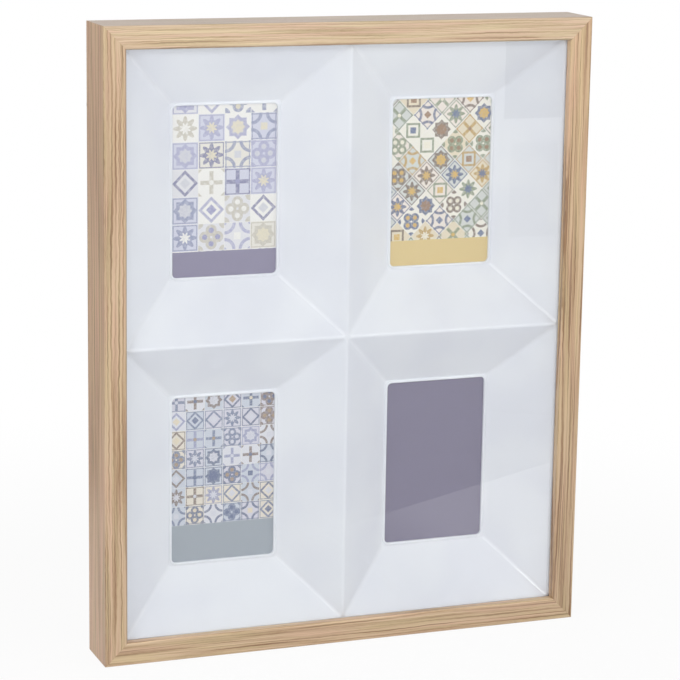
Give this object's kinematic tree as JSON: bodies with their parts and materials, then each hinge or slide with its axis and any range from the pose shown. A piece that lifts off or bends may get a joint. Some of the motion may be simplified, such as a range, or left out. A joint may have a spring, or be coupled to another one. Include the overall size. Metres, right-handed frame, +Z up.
{
  "type": "collage photo frame",
  "caption": "Deep wall photo frame: mitred oak-look rails, glass over a white funnelled tray with photo windows, a back held by turn buttons, and hanging rings.",
  "frame": {"origin": "middle of the bottom rail's underside, halfway through the moulding's depth", "axes": "+X to the right and +Z up seen from the front; the glass faces -Y and the back faces +Y"},
  "size_m": [0.44, 0.0564, 0.546],
  "materials": {
    "oak": "oak-look foil, satin",
    "clear_glass": "clear float glass",
    "tray_white": "moulded white plastic, satin gloss",
    "print_lilac": "printed paper, pale tile pattern in lilac and cream",
    "print_ochre": "printed paper, mixed tile pattern in ochre and blue",
    "print_blue": "printed paper, tile pattern in grey-blue and beige",
    "print_plum": "printed paper, plain grey-purple",
    "grey_card": "uncoated grey board",
    "fibreboard": "thin brown fibreboard",
    "zinc_steel": "zinc-plated sheet and wire"
  },
  "bodies": {
    "frame": {"bottom_rail": "oak", "top_rail": "oak", "left_rail": "oak", "right_rail": "oak", "corner_v_nails": "zinc_steel", "glass_pane": "clear_glass", "funnel_tray": "tray_white", "photo_top_left": "print_lilac", "backing_card_top_left": "grey_card", "photo_top_right": "print_ochre", "backing_card_top_right": "grey_card", "photo_bottom_left": "print_blue", "backing_card_bottom_left": "grey_card", "photo_bottom_right": "print_plum", "backing_card_bottom_right": "grey_card", "backboard": "fibreboard", "turn_button_screws": "zinc_steel", "hanger_strap_left": "zinc_steel", "hanger_strap_right": "zinc_steel", "hanger_screws": "zinc_steel"},
    "turn_button_bottom_left": {"turn_button_bottom_left": "zinc_steel"},
    "turn_button_bottom_right": {"turn_button_bottom_right": "zinc_steel"},
    "turn_button_top_left": {"turn_button_top_left": "zinc_steel"},
    "turn_button_top_right": {"turn_button_top_right": "zinc_steel"},
    "turn_button_left_lower": {"turn_button_left_lower": "zinc_steel"},
    "turn_button_left_upper": {"turn_button_left_upper": "zinc_steel"},
    "turn_button_right_lower": {"turn_button_right_lower": "zinc_steel"},
    "turn_button_right_upper": {"turn_button_right_upper": "zinc_steel"},
    "hanger_ring_left": {"hanger_ring_left": "zinc_steel"},
    "hanger_ring_right": {"hanger_ring_right": "zinc_steel"}
  },
  "joints": [
    {"name": "turn_button_bottom_left_pivot", "type": "hinge", "parent": "frame", "child": "turn_button_bottom_left", "pos_m": [-0.1, 0.0261, 0.0077], "axis": [0, 1, 0], "range_deg": [-90, 90]},
    {"name": "turn_button_bottom_right_pivot", "type": "hinge", "parent": "frame", "child": "turn_button_bottom_right", "pos_m": [0.1, 0.0261, 0.0077], "axis": [0, 1, 0], "range_deg": [-90, 90]},
    {"name": "turn_button_top_left_pivot", "type": "hinge", "parent": "frame", "child": "turn_button_top_left", "pos_m": [-0.1, 0.0261, 0.5383], "axis": [0, 1, 0], "range_deg": [-90, 90]},
    {"name": "turn_button_top_right_pivot", "type": "hinge", "parent": "frame", "child": "turn_button_top_right", "pos_m": [0.1, 0.0261, 0.5383], "axis": [0, 1, 0], "range_deg": [-90, 90]},
    {"name": "turn_button_left_lower_pivot", "type": "hinge", "parent": "frame", "child": "turn_button_left_lower", "pos_m": [-0.2123, 0.0261, 0.12], "axis": [0, 1, 0], "range_deg": [-90, 90]},
    {"name": "turn_button_left_upper_pivot", "type": "hinge", "parent": "frame", "child": "turn_button_left_upper", "pos_m": [-0.2123, 0.0261, 0.426], "axis": [0, 1, 0], "range_deg": [-90, 90]},
    {"name": "turn_button_right_lower_pivot", "type": "hinge", "parent": "frame", "child": "turn_button_right_lower", "pos_m": [0.2123, 0.0261, 0.12], "axis": [0, 1, 0], "range_deg": [-90, 90]},
    {"name": "turn_button_right_upper_pivot", "type": "hinge", "parent": "frame", "child": "turn_button_right_upper", "pos_m": [0.2123, 0.0261, 0.426], "axis": [0, 1, 0], "range_deg": [-90, 90]},
    {"name": "hanger_ring_left_swing", "type": "hinge", "parent": "frame", "child": "hanger_ring_left", "pos_m": [-0.2123, 0.0279, 0.48], "axis": [1, 0, 0], "range_deg": [0, 172]},
    {"name": "hanger_ring_right_swing", "type": "hinge", "parent": "frame", "child": "hanger_ring_right", "pos_m": [0.2123, 0.0279, 0.48], "axis": [1, 0, 0], "range_deg": [0, 172]}
  ]
}
